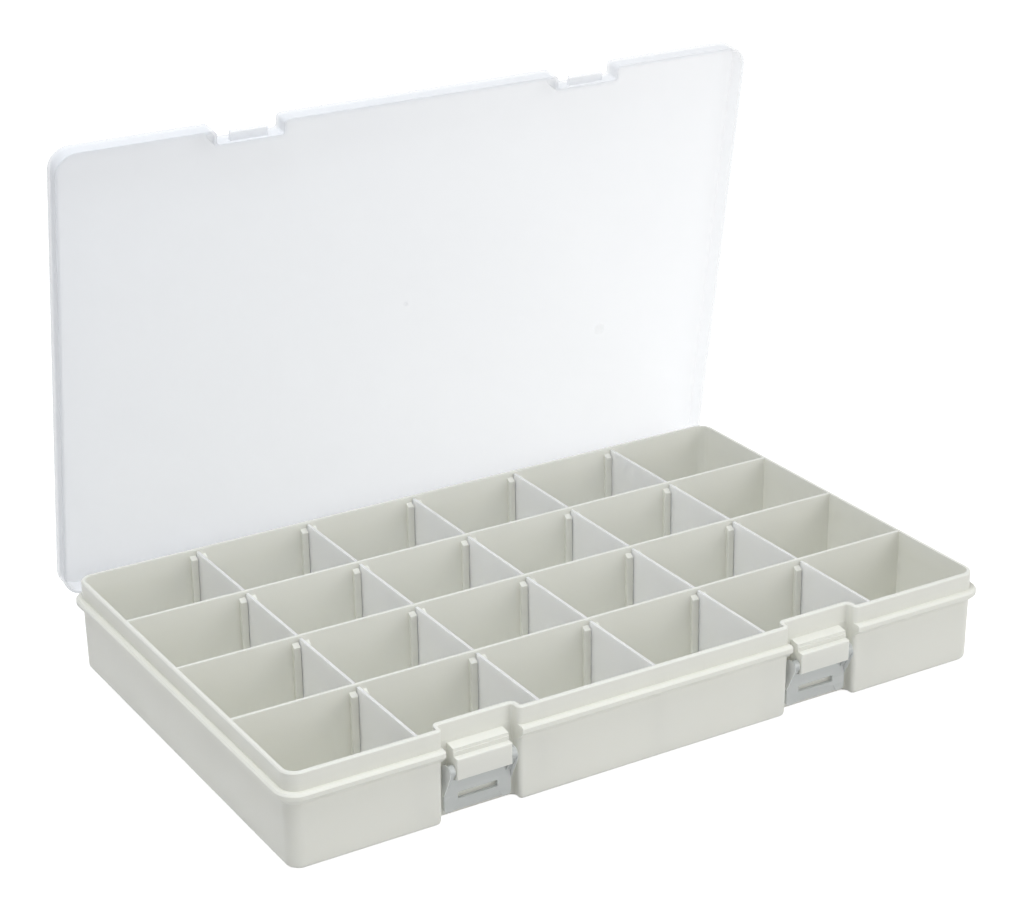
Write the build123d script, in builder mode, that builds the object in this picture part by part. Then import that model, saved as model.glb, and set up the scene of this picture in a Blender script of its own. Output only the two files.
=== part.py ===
from build123d import *
from math import cos, hypot, radians, sin, tan
import os

# Storage box of many small compartments: a moulded tray with long walls and slots, lift-out
# dividers, a lid on pinned hinges and two swing latches. Millimetres, +Z up, +Y towards the
# hinges, with the origin at the centre of the tray's underside. The lid stands open.

# Tray
cavity_width = 330.0
cavity_depth = 201.0
tray_height = 42.3
tray_wall = 1.8
floor_thickness = 1.8
draft = 0.8
inner_corner = 5.0
base_round = 2.4
rim_edge = 0.5
columns = 6
rows = 4
long_wall = 1.4
wall_bite = 0.2
valley_width = 9.0
valley_depth = 1.3
gate_pad = 24.0

# Flange round the tray, which the lid's skirt closes onto
flange_proud = 2.8
flange_drop = 7.9
flange_face = 2.6
flange_bite = 0.6
flange_gap = 0.3
flange_edge = 0.8

# Slots for the dividers, each between two ribs
rib_width = 3.0
rib_proud = 2.2
rib_drop = 2.6
rib_slope = 1.5

# Dividers
divider_thickness = 1.3
divider_drop = 0.9
divider_clearance = 0.25
divider_corner = 2.2

# Latch pockets in the front wall
pocket_column = 1.5
pocket_shift = 0.5
pocket_width = 34.0
pocket_depth = 5.2
pocket_edge = 2.4
pocket_corner = 1.2

# Bracket in each pocket, stepped back upwards so that the closed latch can lean in over it
bracket_width = 25.0
bracket_wall = 1.6
bracket_drop = 14.5
bracket_face = 9.4
bracket_step = 2.9
bracket_band = 1.9
bracket_line = 0.35
bracket_shelf_drop = 1.2
bracket_fall = 0.6
bracket_round = 0.6
trunnion_radius = 1.24
trunnion_length = 2.6

# Latches, which hang open below their pivots
pivot_drop = 11.2
pivot_setback = 3.1
pivot_clearance = 0.06
latch_gap = 0.3
latch_boss = 2.4
latch_thickness = 1.5
latch_reach = 20.2
latch_cutout = 6.4
latch_web = 9.0
latch_corner = 1.8
latch_lean = 15.0
window_width = 18.0
window_near = 12.2
window_far = 15.0
grip_foot = 23.0
grip_head = 18.6
grip_height = 3.4
grip_depth = 0.8

# Lid
lid_wall = 1.2
lid_panel = 1.8
lid_seat = 0.3
lid_edge = 1.4
lid_open_angle = 81.2
notch_edge = 2.4
notch_corner = 1.2
catch_width = 17.2
catch_gap = 0.25
catch_bevel = 0.5

# Hinges, each a knuckle on the lid between two lugs on the tray
hinge_column = 2
hinge_knuckle = 24.0
hinge_lug = 6.0
hinge_gap = 0.4
hinge_barrel = 2.6
hinge_arm = 1.6
hinge_drop = 5.95
hinge_gusset = 3.5
pin_radius = 1.1
pin_press = 0.01
pin_running = 0.05
pin_chamfer = 0.3

# Sizes that follow from those above
slope = tan(radians(draft))
half_width = cavity_width / 2 + tray_wall
half_depth = cavity_depth / 2 + tray_wall
outer_corner = inner_corner + tray_wall
wall_run = tray_height - floor_thickness
flange_top = tray_height - flange_drop
flange_under = flange_proud + flange_bite
flange_half_width = half_width + flange_proud
flange_half_depth = half_depth + flange_proud
flange_corner = outer_corner + flange_proud

column_pitch = cavity_width / columns
row_clear = (cavity_depth - (rows - 1) * long_wall) / rows
row_pitch = row_clear + long_wall
slot_half = divider_thickness / 2 + divider_clearance
divider_x = [column_pitch * (i - columns / 2) for i in range(1, columns)]
row_y = [row_pitch * (j - (rows - 1) / 2) for j in range(rows)]
wall_y = [row_pitch * (j - rows / 2) for j in range(1, rows)]

pocket_centre = pocket_column * column_pitch + pocket_shift
pocket_x = [-pocket_centre, pocket_centre]
pocket_back = -half_depth + pocket_depth
face_y = -flange_half_depth
step_y = face_y + bracket_step
band_y = step_y + bracket_line
bracket_bottom = flange_top - bracket_drop
bracket_shelf = flange_top - bracket_shelf_drop
face_top = bracket_bottom + bracket_face
band_top = face_top + bracket_band
root_y = pocket_back + tray_wall / 2

lid_bottom = flange_top + lid_seat
lid_top = tray_height + lid_seat + lid_panel
notch_half = pocket_width / 2 - lid_seat - lid_wall
notch_back = pocket_back - lid_seat - lid_wall

pivot_y = face_y + pivot_setback
pivot_height = flange_top - pivot_drop
plate_back = pocket_back - latch_gap
plate_front = plate_back - latch_thickness
plate_near = plate_front - pivot_y
plate_far = plate_back - pivot_y
plate_foot = pivot_height - latch_reach
latch_half = notch_half - latch_gap
ear_inside = bracket_width / 2 + latch_gap
lean = radians(latch_lean)
window_middle = (window_near + window_far) / 2
catch_low = pivot_height + hypot(plate_far, window_near) + catch_gap
catch_high = pivot_height + hypot(plate_near, window_far) - catch_gap
catch_tip = pivot_y - plate_far * cos(lean) + window_middle * sin(lean)

hinge_x = [-hinge_column * column_pitch, hinge_column * column_pitch]
hinge_y = flange_half_depth
hinge_z = flange_top - hinge_drop
hinge_length = hinge_knuckle + 2 * (hinge_gap + hinge_lug)
hinge_axis = Axis((0, hinge_y, hinge_z), (1, 0, 0))

os.makedirs("parts", exist_ok=True)


def round_recesses(sketch, front, back, mouth_radius, inner_radius):
    """Round the two latch recesses of a plan, at their mouths on front and along back."""
    reach = pocket_centre + pocket_width
    mouths = sketch.vertices().filter_by_position(Axis.Y, front - rim_edge, front + rim_edge)
    fillet(mouths.filter_by_position(Axis.X, -reach, reach), mouth_radius)
    inner = sketch.vertices().filter_by_position(Axis.Y, back - rim_edge, back + rim_edge)
    fillet(inner, inner_radius)


def divider_half(z):
    """Half the width of a divider at height z, which follows the draft of the walls."""
    return row_clear / 2 - divider_clearance - slope * (tray_height - z)


# The tray's plan at the rim, and the cavity inside its walls
with BuildSketch(Plane.XY.offset(tray_height)) as tray_plan:
    RectangleRounded(2 * half_width, 2 * half_depth, outer_corner)
    with Locations(*[(x, -half_depth) for x in pocket_x]):
        Rectangle(pocket_width, 2 * pocket_depth, mode=Mode.SUBTRACT)
    round_recesses(tray_plan, -half_depth, pocket_back, pocket_edge, pocket_corner)

with BuildPart() as cavity:
    with BuildSketch(Plane.XY.offset(tray_height)):
        add(tray_plan.sketch)
        offset(amount=-tray_wall, mode=Mode.REPLACE)
    extrude(amount=-wall_run, taper=draft)

# Flange, with gaps for the latches at the front and for the lid's knuckles at the rear
with BuildPart() as flange:
    with BuildSketch(Plane.XY.offset(flange_top)):
        RectangleRounded(2 * flange_half_width, 2 * flange_half_depth, flange_corner)
    extrude(amount=-(flange_face + flange_under))
    chamfer(flange.faces().sort_by(Axis.Z)[0].edges(), flange_under)
    chamfer(flange.faces().sort_by(Axis.Z)[-1].edges(), flange_edge)
    with BuildSketch(Plane.XY.offset(tray_height)):
        with Locations(*[(x, -half_depth) for x in pocket_x]):
            Rectangle(pocket_width + 2 * flange_gap, 2 * pocket_depth)
        with Locations(*[(x, flange_half_depth) for x in hinge_x]):
            Rectangle(hinge_knuckle + 2 * hinge_gap, 2 * (flange_proud + flange_gap))
    extrude(amount=-tray_height, mode=Mode.SUBTRACT)

# One slot: two ribs on a wall that faces +Y at the origin, with sloped tops
with BuildPart() as slot:
    for side in (-1, 1):
        with BuildSketch(Plane.YZ.offset(side * (slot_half + rib_width / 2))):
            with BuildLine():
                Polyline(
                    (-long_wall / 2, floor_thickness / 2),
                    (rib_proud, floor_thickness / 2),
                    (rib_proud, tray_height - rib_drop - rib_slope),
                    (0, tray_height - rib_drop),
                    (-long_wall / 2, tray_height - rib_drop),
                    close=True,
                )
            make_face()
        extrude(amount=rib_width / 2, both=True)

# One latch bracket: a hollow nose with closed ends, open below, and its trunnions
with BuildPart() as bracket:
    with BuildSketch(Plane.YZ):
        with BuildLine():
            Polyline(
                (root_y, bracket_shelf),
                (pocket_back, bracket_shelf),
                (band_y, bracket_shelf - bracket_fall),
                (band_y, band_top),
                (step_y, band_top),
                (step_y, face_top),
                (face_y, face_top),
                (face_y, bracket_bottom),
                (root_y, bracket_bottom),
                close=True,
            )
        make_face()
    extrude(amount=bracket_width / 2, both=True)
    fillet(bracket.edges().group_by(Axis.Y)[0], bracket_round)
    with BuildSketch(Plane.YZ):
        with BuildLine():
            Polyline(
                (root_y + tray_wall, bracket_bottom - bracket_wall),
                (root_y + tray_wall, bracket_shelf - bracket_wall),
                (pocket_back, bracket_shelf - bracket_wall),
                (band_y + bracket_wall, bracket_shelf - bracket_fall - bracket_wall),
                (band_y + bracket_wall, face_top - bracket_wall),
                (face_y + bracket_wall, face_top - bracket_wall),
                (face_y + bracket_wall, bracket_bottom - bracket_wall),
                close=True,
            )
        make_face()
    extrude(amount=bracket_width / 2 - bracket_wall, both=True, mode=Mode.SUBTRACT)
    for side in (-1, 1):
        with BuildSketch(Plane.YZ.offset(side * bracket_width / 2)):
            with Locations((pivot_y, pivot_height)):
                Circle(trunnion_radius)
        extrude(amount=side * trunnion_length)

# One hinge's lugs, with gussets to the rear wall and a hole for the pin
with BuildPart() as lugs:
    for side in (-1, 1):
        with BuildSketch(Plane.YZ.offset(side * (hinge_knuckle / 2 + hinge_gap))):
            with BuildLine():
                Polyline(
                    (half_depth - tray_wall / 2, flange_top - flange_face),
                    (hinge_y, flange_top - flange_face),
                    (hinge_y, hinge_z - hinge_barrel),
                    (half_depth - tray_wall / 2, hinge_z - hinge_barrel - hinge_gusset),
                    close=True,
                )
            make_face()
            with Locations((hinge_y, hinge_z)):
                Circle(hinge_barrel)
        extrude(amount=side * hinge_lug)
    with BuildSketch(Plane.YZ):
        with Locations((hinge_y, hinge_z)):
            Circle(pin_radius - pin_press)
    extrude(amount=hinge_length, both=True, mode=Mode.SUBTRACT)

# Tray
with BuildPart() as tray:
    with BuildSketch(Plane.XY.offset(tray_height)):
        add(tray_plan.sketch)
    extrude(amount=-tray_height, taper=draft)
    fillet(tray.faces().sort_by(Axis.Z)[0].edges(), base_round)
    chamfer(tray.faces().sort_by(Axis.Z)[-1].edges(), rim_edge)
    add(flange.part)
    add(cavity.part, mode=Mode.SUBTRACT)
    with BuildSketch(Plane.XY.offset(tray_height)):
        with Locations(*[(0, y) for y in wall_y]):
            Rectangle(cavity_width + 2 * wall_bite, long_wall)
    extrude(amount=-wall_run, taper=-draft)
    front_slots = [Location((x, y - row_clear / 2, 0)) for y in row_y for x in divider_x]
    rear_slots = [Location((x, y + row_clear / 2, 0), (0, 0, 180)) for y in row_y for x in divider_x]
    with Locations(*front_slots, *rear_slots):
        add(slot.part)
    with Locations(*[(x, 0) for x in pocket_x]):
        add(bracket.part)
    with Locations(*[(x, 0) for x in hinge_x]):
        add(lugs.part)
    with BuildSketch(Plane.YZ):
        for y in wall_y:
            with BuildLine():
                Polyline((y - valley_width / 2, 0), (y + valley_width / 2, 0), (y, valley_depth), close=True)
            make_face()
    extrude(amount=half_width, both=True, mode=Mode.SUBTRACT)
    with BuildSketch():
        Circle(gate_pad / 2)
    extrude(amount=floor_thickness)

tray.part.label = "tray"
export_step(tray.part, "parts/tray.step")

# Lid, drawn closed on the flange and then swung open about the hinges
with BuildPart() as closed_lid:
    with BuildSketch(Plane.XY.offset(lid_bottom)) as lid_plan:
        RectangleRounded(2 * flange_half_width, 2 * flange_half_depth, flange_corner)
        with Locations(*[(x, face_y) for x in pocket_x]):
            Rectangle(2 * notch_half, 2 * (notch_back - face_y), mode=Mode.SUBTRACT)
        round_recesses(lid_plan, face_y, notch_back, notch_edge, notch_corner)
    extrude(amount=lid_top - lid_bottom)
    fillet(closed_lid.faces().sort_by(Axis.Z)[-1].edges(), lid_edge)
    with BuildSketch(Plane.XY.offset(lid_bottom)):
        add(lid_plan.sketch)
        offset(amount=-lid_wall, mode=Mode.REPLACE)
    extrude(amount=lid_top - lid_panel - lid_bottom, mode=Mode.SUBTRACT)
    for x in hinge_x:
        with BuildSketch(Plane.YZ.offset(x)):
            with BuildLine():
                Polyline(
                    (hinge_y, hinge_z),
                    (hinge_y, lid_bottom + hinge_arm),
                    (hinge_y - hinge_arm, lid_bottom + hinge_arm),
                    (hinge_y - hinge_arm, hinge_z),
                    close=True,
                )
            make_face()
            with Locations((hinge_y, hinge_z)):
                Circle(hinge_barrel)
                Circle(pin_radius + pin_running, mode=Mode.SUBTRACT)
        extrude(amount=hinge_knuckle / 2, both=True)
    for x in pocket_x:
        with BuildSketch(Plane.YZ.offset(x)):
            with BuildLine():
                Polyline(
                    (notch_back + lid_wall / 2, catch_low),
                    (notch_back + lid_wall / 2, catch_high),
                    (catch_tip + catch_bevel, catch_high),
                    (catch_tip, catch_high - catch_bevel),
                    (catch_tip, catch_low + catch_bevel),
                    (catch_tip + catch_bevel, catch_low),
                    close=True,
                )
            make_face()
        extrude(amount=catch_width / 2, both=True)

open_lid = closed_lid.part.rotate(hinge_axis, -lid_open_angle)
open_lid.label = "lid"
export_step(open_lid, "parts/lid.step")

# Latches: a windowed plate with a finger grip, on two ears that turn on the trunnions
with BuildPart() as grip:
    with BuildSketch(Plane.XZ.offset(-plate_front)):
        with BuildLine():
            Polyline(
                (-grip_foot / 2, plate_foot),
                (grip_foot / 2, plate_foot),
                (grip_head / 2, plate_foot + grip_height),
                (-grip_head / 2, plate_foot + grip_height),
                close=True,
            )
        make_face()
    extrude(amount=-grip_depth)
    with BuildSketch(Plane.YZ):
        with BuildLine():
            Polyline(
                (plate_front, plate_foot),
                (plate_front + grip_depth, plate_foot),
                (plate_front, plate_foot + grip_height),
                close=True,
            )
        make_face()
    extrude(amount=latch_half, both=True, mode=Mode.INTERSECT)

for side, x in zip(("left", "right"), pocket_x):
    with BuildPart() as latch:
        with BuildSketch(Plane.YZ.offset(x)):
            with Locations((pivot_y, pivot_height)):
                Circle(latch_boss)
            with BuildLine():
                Polyline(
                    (plate_front, pivot_height - latch_web),
                    (plate_back, pivot_height - latch_web),
                    (plate_back, pivot_height - latch_cutout),
                    (plate_front, pivot_height - latch_cutout),
                    close=True,
                )
            make_face()
            make_hull()
            with Locations((pivot_y, pivot_height)):
                Circle(trunnion_radius + pivot_clearance, mode=Mode.SUBTRACT)
        extrude(amount=latch_half, both=True)
        with BuildSketch(Plane.XZ.offset(-plate_back)):
            with Locations((x, pivot_height)):
                Rectangle(2 * ear_inside, 2 * latch_web)
        extrude(amount=latch_reach, both=True, mode=Mode.SUBTRACT)
        with BuildSketch(Plane.XZ.offset(-plate_back)):
            with Locations((x, plate_foot)):
                Rectangle(2 * latch_half, latch_reach - latch_cutout, align=(Align.CENTER, Align.MIN))
        extrude(amount=latch_thickness)
        fillet(latch.edges().filter_by(Axis.Y).group_by(Axis.Z)[0], latch_corner)
        with BuildSketch(Plane.XZ.offset(-plate_back)):
            with Locations((x, pivot_height - window_middle)):
                Rectangle(window_width, window_far - window_near)
        extrude(amount=latch_thickness, both=True, mode=Mode.SUBTRACT)
        with Locations((x, 0)):
            add(grip.part, mode=Mode.SUBTRACT)
    latch.part.label = f"latch_{side}"
    export_step(latch.part, f"parts/latch_{side}.step")

# Hinge pins, pressed into the lugs
for side, x in zip(("left", "right"), hinge_x):
    with BuildPart() as pin:
        with BuildSketch(Plane.YZ.offset(x)):
            with Locations((hinge_y, hinge_z)):
                Circle(pin_radius)
        extrude(amount=hinge_length / 2, both=True)
        chamfer(pin.edges().filter_by(GeomType.CIRCLE), pin_chamfer)
    pin.part.label = f"hinge_pin_{side}"
    export_step(pin.part, f"parts/hinge_pin_{side}.step")

# Dividers, numbered from the front row and from the left
divider_foot = floor_thickness + divider_clearance
divider_top = tray_height - divider_drop
for row, y in enumerate(row_y, start=1):
    for column, x in enumerate(divider_x, start=1):
        with BuildPart() as divider:
            with BuildSketch(Plane.YZ.offset(x)):
                with BuildLine():
                    Polyline(
                        (y - divider_half(divider_foot), divider_foot),
                        (y + divider_half(divider_foot), divider_foot),
                        (y + divider_half(divider_top), divider_top),
                        (y - divider_half(divider_top), divider_top),
                        close=True,
                    )
                make_face()
            extrude(amount=divider_thickness / 2, both=True)
            chamfer(divider.edges().filter_by(Axis.X).group_by(Axis.Z)[0], divider_corner)
        divider.part.label = f"divider_r{row}_c{column}"
        export_step(divider.part, f"parts/divider_r{row}_c{column}.step")
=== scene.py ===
"""Dresses and lights the compartment box: tray, dividers, lid, latches and hinge pins."""

import logging
import math
from dataclasses import dataclass, field, replace
from enum import Enum

import bmesh
import bpy
from mathutils import Matrix, Vector


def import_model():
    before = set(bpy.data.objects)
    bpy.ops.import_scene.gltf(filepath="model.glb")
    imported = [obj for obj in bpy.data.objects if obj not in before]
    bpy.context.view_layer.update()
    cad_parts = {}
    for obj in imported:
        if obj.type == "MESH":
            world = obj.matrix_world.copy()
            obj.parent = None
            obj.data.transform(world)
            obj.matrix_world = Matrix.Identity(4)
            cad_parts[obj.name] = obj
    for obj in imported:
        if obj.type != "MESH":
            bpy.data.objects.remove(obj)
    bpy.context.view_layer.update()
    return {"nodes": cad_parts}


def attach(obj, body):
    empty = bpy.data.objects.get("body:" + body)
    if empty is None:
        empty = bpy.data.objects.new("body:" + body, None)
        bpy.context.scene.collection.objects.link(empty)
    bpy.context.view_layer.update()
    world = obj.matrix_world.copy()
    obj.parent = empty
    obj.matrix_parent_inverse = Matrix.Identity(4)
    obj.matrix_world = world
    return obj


LOG = logging.getLogger("compartment_box")
MM = 0.001
WELD_GAP = 0.005 * MM
MARK_SEGMENTS = 32

Colour = tuple[float, float, float]
Triple = tuple[float, float, float]


class Slot(Enum):
    """The record's material slots, by name; no piece in this script takes its finish from them."""

    TRAY = "tray_plastic"
    LID = "lid_plastic"
    LATCH = "latch_plastic"


class Light(Enum):
    """What a studio lamp is for."""

    KEY = "key"
    FILL = "fill"
    TOP = "top"


def wire(tree: bpy.types.NodeTree, pairs: list[tuple[bpy.types.NodeSocket, bpy.types.NodeSocket]]) -> None:
    """Links each pair of sockets, from the first to the second.

    Args:
        tree: The node tree that holds the sockets.
        pairs: The output and the input of each link.
    """
    for start, end in pairs:
        tree.links.new(start, end)


def noise(tree: bpy.types.NodeTree, scale: float, detail: float) -> bpy.types.Node:
    """Adds one noise texture.

    Args:
        tree: The node tree that gets it.
        scale: How fine the noise is.
        detail: How many finer layers it has.

    Returns:
        The noise node.
    """
    made = tree.nodes.new("ShaderNodeTexNoise")
    made.inputs["Scale"].default_value = scale
    made.inputs["Detail"].default_value = detail
    return made


def arithmetic(tree: bpy.types.NodeTree, operation: str) -> bpy.types.Node:
    """Adds one math node.

    Args:
        tree: The node tree that gets it.
        operation: What the node does with its inputs.

    Returns:
        The math node.
    """
    made = tree.nodes.new("ShaderNodeMath")
    made.operation = operation
    return made


@dataclass(frozen=True)
class MouldedSkin:
    """The skin that moulded plastic pieces share: clouds, flow marks and fine grain."""

    name: str = "moulded_skin"
    cloud_scale: float = 14.0
    cloud_detail: float = 3.0
    flow_stretch: Triple = (9.0, 60.0, 60.0)
    flow_detail: float = 4.0
    grain_scale: float = 900.0
    grain_detail: float = 2.0

    def group(self) -> bpy.types.NodeTree:
        """Builds the skin, once.

        Returns:
            A group that turns a colour and its amounts into a clouded colour, a roughness that
            changes with flow marks, and a height of fine grain.
        """
        if self.name in bpy.data.node_groups:
            return bpy.data.node_groups[self.name]
        group = bpy.data.node_groups.new(self.name, "ShaderNodeTree")
        for name, way, kind in (
            ("Colour", "INPUT", "Color"),
            ("Shade", "INPUT", "Color"),
            ("Cloud", "INPUT", "Float"),
            ("Gloss", "INPUT", "Float"),
            ("Flow", "INPUT", "Float"),
            ("Colour", "OUTPUT", "Color"),
            ("Roughness", "OUTPUT", "Float"),
            ("Height", "OUTPUT", "Float"),
        ):
            group.interface.new_socket(name=name, in_out=way, socket_type=f"NodeSocket{kind}")
        entry = group.nodes.new("NodeGroupInput")
        leave = group.nodes.new("NodeGroupOutput")
        place = group.nodes.new("ShaderNodeTexCoord").outputs["Object"]
        clouds = noise(group, self.cloud_scale, self.cloud_detail)
        amount = arithmetic(group, "MULTIPLY")
        mix = group.nodes.new("ShaderNodeMix")
        mix.data_type = "RGBA"
        stretch = group.nodes.new("ShaderNodeMapping")
        stretch.inputs["Scale"].default_value = self.flow_stretch
        marks = noise(group, 1.0, self.flow_detail)
        centred = arithmetic(group, "SUBTRACT")
        centred.inputs[1].default_value = 0.5
        flow = arithmetic(group, "MULTIPLY_ADD")
        grain = noise(group, self.grain_scale, self.grain_detail)
        wire(
            group,
            [
                (place, clouds.inputs["Vector"]),
                (clouds.outputs["Fac"], amount.inputs[0]),
                (entry.outputs["Cloud"], amount.inputs[1]),
                (amount.outputs[0], mix.inputs["Factor"]),
                (entry.outputs["Colour"], mix.inputs["A"]),
                (entry.outputs["Shade"], mix.inputs["B"]),
                (mix.outputs["Result"], leave.inputs["Colour"]),
                (place, stretch.inputs["Vector"]),
                (stretch.outputs["Vector"], marks.inputs["Vector"]),
                (marks.outputs["Fac"], centred.inputs[0]),
                (centred.outputs[0], flow.inputs[0]),
                (entry.outputs["Flow"], flow.inputs[1]),
                (entry.outputs["Gloss"], flow.inputs[2]),
                (flow.outputs[0], leave.inputs["Roughness"]),
                (place, grain.inputs["Vector"]),
                (grain.outputs["Fac"], leave.inputs["Height"]),
            ],
        )
        return group


@dataclass(frozen=True)
class Plastic:
    """A moulded plastic finish, opaque or see-through."""

    name: str
    colour: Colour
    shade: Colour
    gloss: float = 0.42
    flow: float = 0.16
    cloud: float = 0.35
    grain: float = 0.06
    grain_height: float = 0.1 * MM
    alpha: float = 1.0
    scatter: float = 0.0
    depth: float = 2.0 * MM
    bleed: Triple = (1.0, 0.97, 0.9)
    refraction: float = 1.49
    coat: float = 0.0
    coat_gloss: float = 0.18
    # The next two fields set a painted shade: how much the alpha rises towards the sheet's left end, and
    # over what reach.
    painted_shade: float = 0.0
    painted_shade_reach: float = 170.0 * MM

    def material(self) -> bpy.types.Material:
        """Builds the finish the first time it is asked for.

        Returns:
            The finish as a material.
        """
        if self.name in bpy.data.materials:
            return bpy.data.materials[self.name]
        made = bpy.data.materials.new(self.name)
        made.use_nodes = True
        tree = made.node_tree
        shader = tree.nodes["Principled BSDF"]
        shader.inputs["Alpha"].default_value = self.alpha
        shader.inputs["Coat Weight"].default_value = self.coat
        shader.inputs["Coat Roughness"].default_value = self.coat_gloss
        shader.inputs["IOR"].default_value = self.refraction
        shader.inputs["Subsurface Weight"].default_value = self.scatter
        shader.inputs["Subsurface Radius"].default_value = self.bleed
        shader.inputs["Subsurface Scale"].default_value = self.depth
        skin = tree.nodes.new("ShaderNodeGroup")
        skin.node_tree = MouldedSkin().group()
        skin.inputs["Colour"].default_value = (*self.colour, 1.0)
        skin.inputs["Shade"].default_value = (*self.shade, 1.0)
        skin.inputs["Cloud"].default_value = self.cloud
        skin.inputs["Gloss"].default_value = self.gloss
        skin.inputs["Flow"].default_value = self.flow
        bump = tree.nodes.new("ShaderNodeBump")
        bump.inputs["Strength"].default_value = self.grain
        bump.inputs["Distance"].default_value = self.grain_height
        wire(
            tree,
            [
                (skin.outputs["Colour"], shader.inputs["Base Color"]),
                (skin.outputs["Roughness"], shader.inputs["Roughness"]),
                (skin.outputs["Height"], bump.inputs["Height"]),
                (bump.outputs["Normal"], shader.inputs["Normal"]),
            ],
        )
        # Painted shade: the alpha rises towards the left end so that side reads darker.
        if self.painted_shade:
            self.paint_left_end_shade(tree, shader)
        made.diffuse_color = (*self.colour, self.alpha)
        return made

    def paint_left_end_shade(self, tree: bpy.types.NodeTree, shader: bpy.types.Node) -> None:
        """Paints shade on the sheet towards its left end: the alpha rises there, so the milky lid reads
        darker on the left.

        Args:
            tree: The finish's node tree.
            shader: The shader whose alpha rises there.
        """
        place = tree.nodes.new("ShaderNodeTexCoord")
        axes = tree.nodes.new("ShaderNodeSeparateXYZ")
        painted_shade_ramp = tree.nodes.new("ShaderNodeMapRange")
        painted_shade_ramp.inputs["From Min"].default_value = -self.painted_shade_reach
        painted_shade_ramp.inputs["From Max"].default_value = self.painted_shade_reach
        painted_shade_ramp.inputs["To Min"].default_value = self.alpha + self.painted_shade
        painted_shade_ramp.inputs["To Max"].default_value = self.alpha
        wire(
            tree,
            [
                (place.outputs["Object"], axes.inputs["Vector"]),
                (axes.outputs["X"], painted_shade_ramp.inputs["Value"]),
                (painted_shade_ramp.outputs["Result"], shader.inputs["Alpha"]),
            ],
        )


@dataclass(frozen=True)
class DrawnSteel:
    """The bright wire of the hinge pins, with marks of drawing along it."""

    name: str = "drawn_steel"
    colour: Colour = (0.58, 0.58, 0.6)
    smoothest: float = 0.18
    roughest: float = 0.43
    draw_stretch: Triple = (40.0, 2500.0, 2500.0)
    draw_detail: float = 2.0

    def material(self) -> bpy.types.Material:
        """Builds the finish the first time it is asked for.

        Returns:
            The finish as a material.
        """
        if self.name in bpy.data.materials:
            return bpy.data.materials[self.name]
        made = bpy.data.materials.new(self.name)
        made.use_nodes = True
        tree = made.node_tree
        shader = tree.nodes["Principled BSDF"]
        shader.inputs["Base Color"].default_value = (*self.colour, 1.0)
        shader.inputs["Metallic"].default_value = 1.0
        place = tree.nodes.new("ShaderNodeTexCoord")
        stretch = tree.nodes.new("ShaderNodeMapping")
        stretch.inputs["Scale"].default_value = self.draw_stretch
        marks = noise(tree, 1.0, self.draw_detail)
        spread = tree.nodes.new("ShaderNodeMapRange")
        spread.inputs["To Min"].default_value = self.smoothest
        spread.inputs["To Max"].default_value = self.roughest
        wire(
            tree,
            [
                (place.outputs["Object"], stretch.inputs["Vector"]),
                (stretch.outputs["Vector"], marks.inputs["Vector"]),
                (marks.outputs["Fac"], spread.inputs["Value"]),
                (spread.outputs["Result"], shader.inputs["Roughness"]),
            ],
        )
        return made


Finish = Plastic | DrawnSteel

IVORY = Plastic(
    "ivory_polypropylene",
    colour=(0.8, 0.8, 0.745),
    shade=(0.77, 0.765, 0.7),
    gloss=0.4,
    scatter=0.35,
    depth=4.0 * MM,
)
IVORY_FLOOR = replace(IVORY, name="ivory_floor_marks", scatter=0.0)
MILKY = Plastic(
    "milky_polypropylene",
    colour=(0.86, 0.88, 0.92),
    shade=(0.8, 0.825, 0.885),
    gloss=0.3,
    flow=0.04,
    cloud=0.4,
    grain=0.02,
    alpha=0.28,
    # Painted shade: the alpha rises by this much towards the lid's left end.
    painted_shade=0.22,
)
PALE = Plastic(
    "pale_polypropylene",
    colour=(0.95, 0.96, 0.98),
    shade=(0.92, 0.94, 0.96),
    gloss=0.3,
    grain=0.02,
    alpha=0.12,
)
FROSTED = Plastic(
    "frosted_polypropylene",
    colour=(0.985, 0.99, 0.985),
    shade=(0.965, 0.975, 0.975),
    gloss=0.38,
    alpha=0.96,
    scatter=0.8,
    depth=6.0 * MM,
)
SMOKE = Plastic(
    "smoke_polypropylene",
    colour=(0.76, 0.785, 0.78),
    shade=(0.7, 0.73, 0.73),
    gloss=0.26,
    cloud=0.5,
    alpha=0.62,
    coat=0.25,
)
# A lighter copy of the smoke plastic for the latches' cheeks: painted light that brightens walls sitting
# in shade.
PAINTED_LIGHT_SMOKE = Plastic(
    "mist_polypropylene",
    colour=(0.93, 0.945, 0.94),
    shade=(0.88, 0.9, 0.9),
    gloss=0.26,
    alpha=0.8,
    coat=0.25,
)
STEEL = DrawnSteel()


def dress(node: bpy.types.Object, finish: Finish, split: float = 32.0) -> None:
    """Gives a CAD node its finish and smooth shading over its rounded edges.

    Args:
        node: The CAD node's object.
        finish: The finish that covers it.
        split: The angle in degrees above which an edge stays sharp.
    """
    node.data.materials.clear()
    node.data.materials.append(finish.material())
    node.data.polygons.foreach_set("use_smooth", [True] * len(node.data.polygons))
    weld = node.modifiers.new("weld", "WELD")
    weld.merge_threshold = WELD_GAP
    edges = node.modifiers.new("edges", "EDGE_SPLIT")
    edges.split_angle = math.radians(split)


def dress_kind(nodes: dict[str, bpy.types.Object], kind: str, finish: Finish) -> list[str]:
    """Dresses every CAD node of one kind.

    Args:
        nodes: The CAD nodes by name.
        kind: What the names of these nodes start with.
        finish: The finish that covers them.

    Returns:
        The names of the nodes.
    """
    names = sorted(name for name in nodes if name.startswith(kind))
    for name in names:
        dress(nodes[name], finish)
    return names


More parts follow.
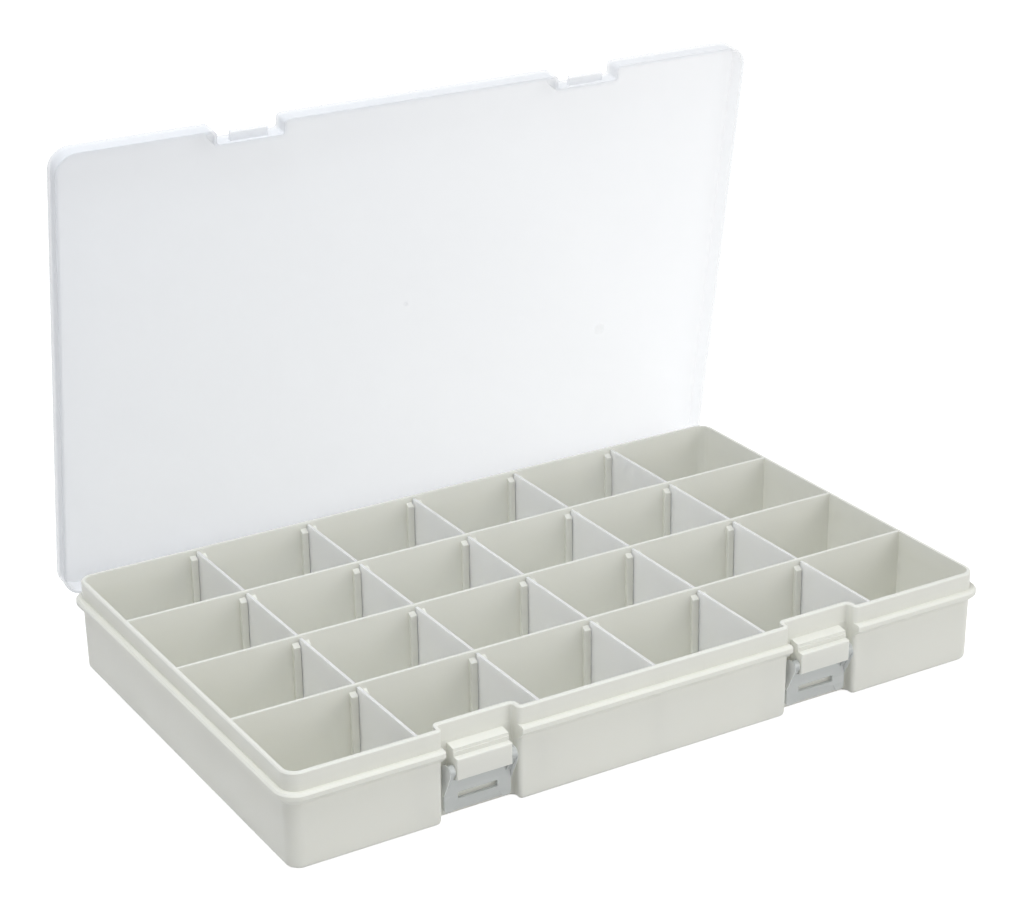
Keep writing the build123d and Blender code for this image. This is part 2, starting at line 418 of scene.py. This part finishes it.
def as_piece(shape: bmesh.types.BMesh, name: str, finish: Finish, body: str) -> str:
    """Turns a bmesh into a piece that rides on a body.

    Args:
        shape: The finished bmesh, which is freed.
        name: The piece's name.
        finish: What covers it.
        body: The CAD body that carries it.

    Returns:
        The piece's name.
    """
    bmesh.ops.recalc_face_normals(shape, faces=shape.faces)
    mesh = bpy.data.meshes.new(name)
    shape.to_mesh(mesh)
    shape.free()
    piece = bpy.data.objects.new(name, mesh)
    bpy.context.scene.collection.objects.link(piece)
    mesh.materials.append(finish.material())
    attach(piece, body)
    return name


@dataclass
class Tray:
    """The moulded tray, with the ejector marks that stand on its compartments' floors."""

    columns: int = 6
    rows: int = 4
    pitch_x: float = 55.0 * MM
    pitch_y: float = 50.6 * MM
    floor: float = 1.8 * MM
    mark_radius: float = 3.0 * MM
    mark_height: float = 0.06 * MM
    body: str = "tray"

    def ejector_marks(self) -> str:
        """Builds the faint round marks, one in each compartment.

        Returns:
            The name of the one piece that holds every mark.
        """
        shape = bmesh.new()
        for row in range(self.rows):
            for column in range(self.columns):
                x = (column - (self.columns - 1) / 2) * self.pitch_x
                y = (row - (self.rows - 1) / 2) * self.pitch_y
                place = Matrix.Translation((x, y, self.floor + self.mark_height / 2))
                bmesh.ops.create_cone(
                    shape,
                    cap_ends=True,
                    segments=MARK_SEGMENTS,
                    radius1=self.mark_radius,
                    radius2=self.mark_radius - self.mark_height,
                    depth=self.mark_height,
                    matrix=place,
                )
        return as_piece(shape, "floor_marks", IVORY_FLOOR, self.body)

    def build(self, nodes: dict[str, bpy.types.Object]) -> list[str]:
        """Dresses the tray and adds its marks.

        Args:
            nodes: The CAD nodes by name.

        Returns:
            The names of the pieces.
        """
        return [*dress_kind(nodes, "tray", IVORY), self.ejector_marks()]


@dataclass
class Dividers:
    """The twenty loose dividers that drop into the tray's slots."""

    kind: str = "divider"
    finish: Finish = FROSTED

    def build(self, nodes: dict[str, bpy.types.Object]) -> list[str]:
        """Dresses the dividers.

        Args:
            nodes: The CAD nodes by name.

        Returns:
            The names of the pieces.
        """
        return dress_kind(nodes, self.kind, self.finish)


@dataclass
class Lid:
    """The swung-up lid, with the gate's nub and a round mark inside its panel."""

    open_angle: float = 81.2
    hinge: Vector = field(default_factory=lambda: Vector((0.0, 105.1, 28.45)) * MM)
    underside: float = 42.6 * MM
    mark_side: float = 108.0 * MM
    mark_back: float = 33.0 * MM
    mark_radius: float = 2.8 * MM
    mark_height: float = 0.08 * MM
    gate_back: float = -2.0 * MM
    gate_radius: float = 1.0 * MM
    gate_height: float = 0.7 * MM
    taper: float = 0.9
    body: str = "lid"

    def swing(self) -> Matrix:
        """The turn that carries the closed lid to where it stands open."""
        turn = Matrix.Rotation(math.radians(-self.open_angle), 4, "X")
        return Matrix.Translation(self.hinge) @ turn @ Matrix.Translation(-self.hinge)

    def marks(self) -> str:
        """Builds the gate's nub and the round mark under the panel.

        Returns:
            The name of the one piece that holds both, in place on the open lid.
        """
        shape = bmesh.new()
        spots = [
            (0.0, self.gate_back, self.gate_radius, self.gate_height),
            (self.mark_side, self.mark_back, self.mark_radius, self.mark_height),
        ]
        for x, y, radius, height in spots:
            place = Matrix.Translation((x, y, self.underside - height / 2))
            bmesh.ops.create_cone(
                shape,
                cap_ends=True,
                segments=MARK_SEGMENTS,
                radius1=radius * self.taper,
                radius2=radius,
                depth=height,
                matrix=self.swing() @ place,
            )
        return as_piece(shape, "lid_marks", PALE, self.body)

    def build(self, nodes: dict[str, bpy.types.Object]) -> list[str]:
        """Dresses the lid and adds its marks.

        Args:
            nodes: The CAD nodes by name.

        Returns:
            The names of the pieces.
        """
        return [*dress_kind(nodes, "lid", MILKY), self.marks()]


@dataclass
class Latches:
    """The two hanging latches, with the thin cheeks that close their ears, in a lighter copy of the latch
    plastic that paints light on them.
    """

    places: dict[str, float] = field(
        default_factory=lambda: {"latch_left": -83.0 * MM, "latch_right": 83.0 * MM}
    )
    ear_face: float = 15.2 * MM
    cheek_wall: float = 0.15 * MM
    cheek_foot: float = 10.5 * MM
    plate_front: float = -98.9 * MM
    plate_back: float = -97.4 * MM
    arch: tuple[float, float] = (-100.9 * MM, 22.2 * MM)
    arch_radius: float = 3.5 * MM
    arch_segments: int = 48

    def cheeks(self, latch: str) -> str:
        """Builds the thin outer walls of one latch's ears, which cover the ends of their bores.

        They take a lighter copy of the latch's smoke plastic, painted light on walls that sit in shade.

        Args:
            latch: The latch's node, which is also its body.

        Returns:
            The name of the one piece that holds both cheeks.
        """
        shape = bmesh.new()
        upright = Matrix.Rotation(math.radians(90), 4, "Y")
        for side in (-1, 1):
            rim = []
            for reach in (self.ear_face, self.ear_face + self.cheek_wall):
                x = self.places[latch] + side * reach
                arch = bmesh.ops.create_circle(
                    shape,
                    segments=self.arch_segments,
                    radius=self.arch_radius,
                    matrix=Matrix.Translation((x, *self.arch)) @ upright,
                )
                rim += arch["verts"]
                for y in (self.plate_front, self.plate_back):
                    rim += bmesh.ops.create_vert(shape, co=(x, y, self.cheek_foot))["vert"]
            hull = bmesh.ops.convex_hull(shape, input=rim)
            inside = [part for part in hull["geom_interior"] if isinstance(part, bmesh.types.BMVert)]
            bmesh.ops.delete(shape, geom=inside, context="VERTS")
        # The cheeks take the lighter copy of the smoke plastic: painted light.
        return as_piece(shape, f"{latch}_cheeks", PAINTED_LIGHT_SMOKE, latch)

    def build(self, nodes: dict[str, bpy.types.Object]) -> list[str]:
        """Dresses the latches and adds their cheeks.

        Args:
            nodes: The CAD nodes by name.

        Returns:
            The names of the pieces.
        """
        return [*dress_kind(nodes, "latch", SMOKE), *[self.cheeks(latch) for latch in self.places]]


@dataclass
class HingePins:
    """The two steel pins that carry the lid."""

    kind: str = "hinge_pin"
    finish: Finish = STEEL

    def build(self, nodes: dict[str, bpy.types.Object]) -> list[str]:
        """Dresses the pins.

        Args:
            nodes: The CAD nodes by name.

        Returns:
            The names of the pieces.
        """
        return dress_kind(nodes, self.kind, self.finish)


@dataclass(frozen=True)
class Lamp:
    """One soft square lamp that faces the box, in metres and watts."""

    kind: Light
    place: Triple
    size: float
    power: float
    colour: Colour

    def hang(self, aim: Vector) -> None:
        """Hangs the lamp.

        Args:
            aim: The point that it faces.
        """
        data = bpy.data.lights.new(self.kind.value, "AREA")
        data.shape = "SQUARE"
        data.size = self.size
        data.energy = self.power
        data.color = self.colour
        made = bpy.data.objects.new(self.kind.value, data)
        made.location = self.place
        made.rotation_mode = "QUATERNION"
        made.rotation_quaternion = (aim - Vector(self.place)).to_track_quat("-Z", "Y")
        bpy.context.scene.collection.objects.link(made)


@dataclass
class Studio:
    """The pale floor, the soft lamps, the world and the camera."""

    camera_place: Vector = field(default_factory=lambda: Vector((-0.5153, -0.8484, 0.5114)))
    azimuth: float = -30.92
    depression: float = 22.60
    roll: float = -0.64
    lens: float = 89.05
    sensor: float = 36.0
    aim: Vector = field(default_factory=lambda: Vector((0.0, 0.0, 0.05)))
    lamps: tuple[Lamp, ...] = (
        Lamp(Light.KEY, (0.8, -1.4, 0.6), 0.9, 7.7, (1.0, 1.0, 0.99)),
        Lamp(Light.FILL, (-1.1, -0.8, 0.8), 1.4, 0.4, (0.95, 0.98, 1.0)),
        Lamp(Light.TOP, (-0.25, -0.16, 0.95), 0.5, 5.3, (0.95, 0.98, 1.0)),
    )
    ambient: float = 0.42
    floor_size: float = 12.0
    floor_drop: float = 0.2 * MM
    floor_grey: float = 0.62
    floor_roughness: float = 0.9
    floor_specular: float = 0.1
    floor_glow: float = 0.86

    def camera(self) -> None:
        """Sets the camera at the photograph's viewing angle."""
        azimuth, down = math.radians(self.azimuth), math.radians(self.depression)
        level = math.cos(down)
        ahead = Vector((-math.sin(azimuth) * level, math.cos(azimuth) * level, -math.sin(down)))
        right = ahead.cross(Vector((0.0, 0.0, 1.0))).normalized()
        above = right.cross(ahead)
        cos_roll, sin_roll = math.cos(math.radians(self.roll)), math.sin(math.radians(self.roll))
        right, above = cos_roll * right + sin_roll * above, cos_roll * above - sin_roll * right
        data = bpy.data.cameras.new("camera")
        data.lens = self.lens
        data.sensor_width = self.sensor
        data.sensor_fit = "HORIZONTAL"
        made = bpy.data.objects.new("camera", data)
        turn = Matrix((right, above, -ahead)).transposed().to_4x4()
        made.matrix_world = Matrix.Translation(self.camera_place) @ turn
        bpy.context.scene.collection.objects.link(made)
        bpy.context.scene.camera = made

    def seen(self, tree: bpy.types.NodeTree) -> bpy.types.NodeSocket:
        """Adds the mask of what the camera sees, straight, in a reflection or through the lid.

        Args:
            tree: The node tree that gets the mask.

        Returns:
            The mask's output.
        """
        path = tree.nodes.new("ShaderNodeLightPath")
        total = path.outputs["Is Camera Ray"]
        for name in ("Is Glossy Ray", "Is Transmission Ray"):
            larger = arithmetic(tree, "MAXIMUM")
            wire(tree, [(total, larger.inputs[0]), (path.outputs[name], larger.inputs[1])])
            total = larger.outputs[0]
        return total

    def world(self) -> None:
        """Makes the world white where it is seen and a soft even light elsewhere."""
        made = bpy.data.worlds.new("studio")
        made.use_nodes = True
        bpy.context.scene.world = made
        tree = made.node_tree
        back = tree.nodes["Background"]
        back.inputs["Color"].default_value = (1.0, 1.0, 1.0, 1.0)
        strength = tree.nodes.new("ShaderNodeMapRange")
        strength.inputs["To Min"].default_value = self.ambient
        strength.inputs["To Max"].default_value = 1.0
        wire(
            tree,
            [
                (self.seen(tree), strength.inputs["Value"]),
                (strength.outputs["Result"], back.inputs["Strength"]),
            ],
        )

    def floor(self) -> None:
        """Lays the pale floor, which shows white and keeps the object's shadow."""
        shape = bmesh.new()
        bmesh.ops.create_grid(
            shape,
            x_segments=1,
            y_segments=1,
            size=self.floor_size / 2,
            matrix=Matrix.Translation((0.0, 0.0, -self.floor_drop)),
        )
        mesh = bpy.data.meshes.new("floor")
        shape.to_mesh(mesh)
        shape.free()
        made = bpy.data.objects.new("floor", mesh)
        bpy.context.scene.collection.objects.link(made)
        paint = bpy.data.materials.new("floor")
        paint.use_nodes = True
        tree = paint.node_tree
        shader = tree.nodes["Principled BSDF"]
        grey = self.floor_grey
        shader.inputs["Base Color"].default_value = (grey, grey, grey, 1.0)
        shader.inputs["Roughness"].default_value = self.floor_roughness
        shader.inputs["Specular IOR Level"].default_value = self.floor_specular
        shader.inputs["Emission Color"].default_value = (1.0, 1.0, 1.0, 1.0)
        glow = arithmetic(tree, "MULTIPLY")
        glow.inputs[1].default_value = self.floor_glow
        wire(
            tree,
            [
                (self.seen(tree), glow.inputs[0]),
                (glow.outputs[0], shader.inputs["Emission Strength"]),
            ],
        )
        mesh.materials.append(paint)

    def build(self) -> None:
        """Builds the whole studio."""
        self.world()
        self.floor()
        self.camera()
        for lamp in self.lamps:
            lamp.hang(self.aim)
        bpy.context.scene.view_settings.view_transform = "Standard"


def main() -> None:
    """Loads the frame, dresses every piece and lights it."""
    logging.basicConfig(level=logging.INFO)
    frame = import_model()
    for assembly in (Tray(), Dividers(), Lid(), Latches(), HingePins()):
        for name in assembly.build(frame["nodes"]):
            LOG.info("%s: %s", type(assembly).__name__, name)
    Studio().build()


if __name__ == "__main__":
    main()
